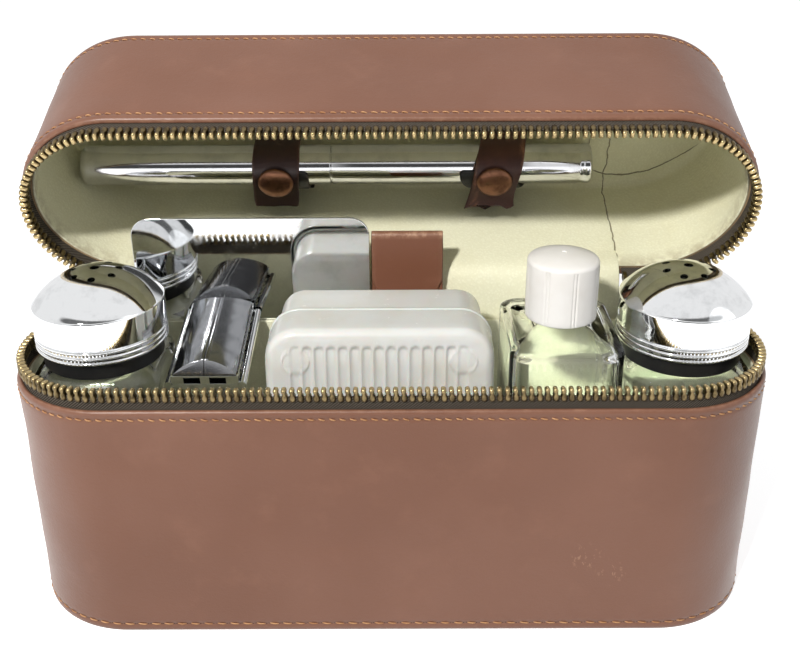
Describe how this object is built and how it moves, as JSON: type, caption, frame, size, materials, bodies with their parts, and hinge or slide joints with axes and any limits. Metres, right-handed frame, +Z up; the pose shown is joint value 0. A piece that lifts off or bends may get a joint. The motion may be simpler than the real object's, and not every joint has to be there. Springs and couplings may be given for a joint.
{
  "type": "travel grooming kit",
  "caption": "Zip-round hide travel grooming case, open, with shaker jars, twist razor, soap box, bottle, mirror, comb wallet and a strapped toothbrush tube",
  "frame": {"origin": "centre of the flat underside", "axes": "+X along the case to the viewer's right, +Y to the hinge side, +Z up"},
  "size_m": [0.26, 0.1222, 0.1921],
  "materials": {
    "hide": "smooth, worn",
    "board": "plain",
    "lining": "grained leatherette",
    "zip_tape": "herringbone twill",
    "zip_brass": "antique, bright tips",
    "copper": "copper plated, dulled",
    "strap_hide": "dark, worn",
    "chrome": "polished, light wear",
    "steel": "brushed",
    "polished_plate": "polished metal",
    "glass": "clear, faint green",
    "black_plastic": "moulded",
    "white_plastic": "moulded",
    "soap_plastic": "cloudy, translucent",
    "liner": "plain",
    "wallet_hide": "smooth, worn fold",
    "comb_plastic": "polished"
  },
  "bodies": {
    "base": {"base_wall": "hide", "base_floor": "hide", "base_board": "board", "base_lining": "lining", "base_pad": "lining", "pocket_panel": "lining", "base_zip_tape": "zip_tape", "base_zip_teeth": "zip_brass", "base_zip_stops": "zip_brass", "hinge_strip": "hide", "hinge_lining": "lining", "zip_slider": "zip_brass"},
    "zip_pull": {"zip_pull": "zip_brass"},
    "lid": {"lid_wall": "hide", "lid_top": "hide", "lid_board": "board", "lid_lining": "lining", "lid_zip_tape": "zip_tape", "lid_zip_teeth": "zip_brass", "lid_zip_stops": "zip_brass", "strap_rivets": "copper", "left_strap_loop": "strap_hide", "right_strap_loop": "strap_hide", "left_strap_stud": "copper", "right_strap_stud": "copper", "tube_body": "chrome"},
    "left_flap": {"left_strap_flap": "strap_hide", "left_strap_cap": "copper"},
    "right_flap": {"right_strap_flap": "strap_hide", "right_strap_cap": "copper"},
    "tube_cap": {"tube_cap": "chrome"},
    "left_jar": {"left_jar_glass": "glass"},
    "left_collar": {"left_jar_collar": "black_plastic"},
    "left_cap": {"left_jar_cap": "chrome"},
    "right_jar": {"right_jar_glass": "glass"},
    "right_collar": {"right_jar_collar": "black_plastic"},
    "right_cap": {"right_jar_cap": "chrome"},
    "bottle": {"bottle_glass": "glass"},
    "bottle_liner": {"bottle_liner": "liner"},
    "bottle_cap": {"bottle_cap": "white_plastic"},
    "soap_box": {"soap_box_base": "soap_plastic"},
    "soap_lid": {"soap_box_lid": "soap_plastic"},
    "razor": {"razor_handle": "chrome", "razor_frame": "chrome", "razor_guard": "chrome", "razor_blade": "steel"},
    "razor_knob": {"razor_knob": "chrome", "razor_rod": "steel"},
    "left_door": {"razor_left_door": "chrome"},
    "right_door": {"razor_right_door": "chrome"},
    "mirror": {"metal_mirror": "polished_plate"},
    "wallet": {"wallet_sleeve": "wallet_hide", "comb": "comb_plastic"},
    "wallet_flap": {"wallet_flap": "wallet_hide"}
  },
  "joints": [
    {"name": "lid_hinge", "type": "hinge", "parent": "base", "child": "lid", "pos_m": [0, 0.037, 0.104], "axis": [-1, 0, 0], "range_deg": [-68, 22]},
    {"name": "zip_pull_swing", "type": "hinge", "parent": "base", "child": "zip_pull", "pos_m": [-0.0926, 0.0389, 0.0944], "axis": [1, 0, 0], "range_deg": [0, 100]},
    {"name": "left_flap_open", "type": "hinge", "parent": "lid", "child": "left_flap", "pos_m": [-0.044, 0.06748, 0.15536], "axis": [-1, 0, 0], "range_deg": [0, 80]},
    {"name": "right_flap_open", "type": "hinge", "parent": "lid", "child": "right_flap", "pos_m": [0.041, 0.06748, 0.15536], "axis": [-1, 0, 0], "range_deg": [0, 80]},
    {"name": "tube_cap_slide", "type": "slide", "parent": "lid", "child": "tube_cap", "axis": [1, 0, 0], "range_m": [0, 0.03]},
    {"name": "left_jar_lift", "type": "slide", "parent": "base", "child": "left_jar", "axis": [0, 0, 1], "range_m": [0, 0.04]},
    {"name": "left_collar_rise", "type": "slide", "parent": "left_jar", "child": "left_collar", "axis": [0, 0, 1], "range_m": [0, 0.0031]},
    {"name": "left_cap_turn", "type": "hinge", "parent": "left_collar", "child": "left_cap", "pos_m": [-0.1005, 0, 0.0971], "axis": [0, 0, 1], "range_deg": [0, 360]},
    {"name": "right_jar_lift", "type": "slide", "parent": "base", "child": "right_jar", "axis": [0, 0, 1], "range_m": [0, 0.04]},
    {"name": "right_collar_rise", "type": "slide", "parent": "right_jar", "child": "right_collar", "axis": [0, 0, 1], "range_m": [0, 0.0031]},
    {"name": "right_cap_turn", "type": "hinge", "parent": "right_collar", "child": "right_cap", "pos_m": [0.101, 0, 0.0971], "axis": [0, 0, 1], "range_deg": [0, 360]},
    {"name": "bottle_lift", "type": "slide", "parent": "base", "child": "bottle", "axis": [0, 0, 1], "range_m": [0, 0.028]},
    {"name": "bottle_liner_rise", "type": "slide", "parent": "bottle", "child": "bottle_liner", "axis": [0, 0, 1], "range_m": [0, 0.0031]},
    {"name": "bottle_cap_turn", "type": "hinge", "parent": "bottle_liner", "child": "bottle_cap", "pos_m": [0.0582, -0.002, 0.1064], "axis": [0, 0, 1], "range_deg": [0, 360]},
    {"name": "soap_box_lift", "type": "slide", "parent": "base", "child": "soap_box", "axis": [0, 0, 1], "range_m": [0, 0.04]},
    {"name": "soap_lid_pull", "type": "slide", "parent": "soap_box", "child": "soap_lid", "axis": [0, -1, 0], "range_m": [0, 0.0048]},
    {"name": "razor_lift", "type": "slide", "parent": "base", "child": "razor", "axis": [0, -0.1736, 0.9848], "range_m": [0, 0.04]},
    {"name": "razor_knob_turn", "type": "hinge", "parent": "razor", "child": "razor_knob", "pos_m": [-0.0631, 0.0056, 0.0936], "axis": [0, -0.1736, 0.9848], "range_deg": [0, 360]},
    {"name": "left_door_open", "type": "hinge", "parent": "razor", "child": "left_door", "pos_m": [-0.07396, 0.00549, 0.09424], "axis": [0, -0.9848, -0.1736], "range_deg": [0, 70.5]},
    {"name": "right_door_open", "type": "hinge", "parent": "razor", "child": "right_door", "pos_m": [-0.05224, 0.00549, 0.09424], "axis": [0, 0.9848, 0.1736], "range_deg": [0, 70.5]},
    {"name": "mirror_lift", "type": "slide", "parent": "base", "child": "mirror", "axis": [0, -0.0349, 0.9994], "range_m": [0, 0.04]},
    {"name": "wallet_lift", "type": "slide", "parent": "base", "child": "wallet", "axis": [0, 0, 1], "range_m": [0, 0.04]},
    {"name": "wallet_flap_swing", "type": "hinge", "parent": "wallet", "child": "wallet_flap", "pos_m": [0.0058, 0.0324, 0.12287], "axis": [-1, 0, 0], "range_deg": [0, 150]}
  ],
  "couplings": [
    {"joint": "left_collar_rise", "follows": "left_cap_turn", "m_per_rad": 0.00047746},
    {"joint": "right_collar_rise", "follows": "right_cap_turn", "m_per_rad": 0.00047746},
    {"joint": "bottle_liner_rise", "follows": "bottle_cap_turn", "m_per_rad": 0.00047746},
    {"joint": "left_door_open", "follows": "razor_knob_turn", "ratio": 0.19444},
    {"joint": "right_door_open", "follows": "razor_knob_turn", "ratio": 0.19444}
  ]
}
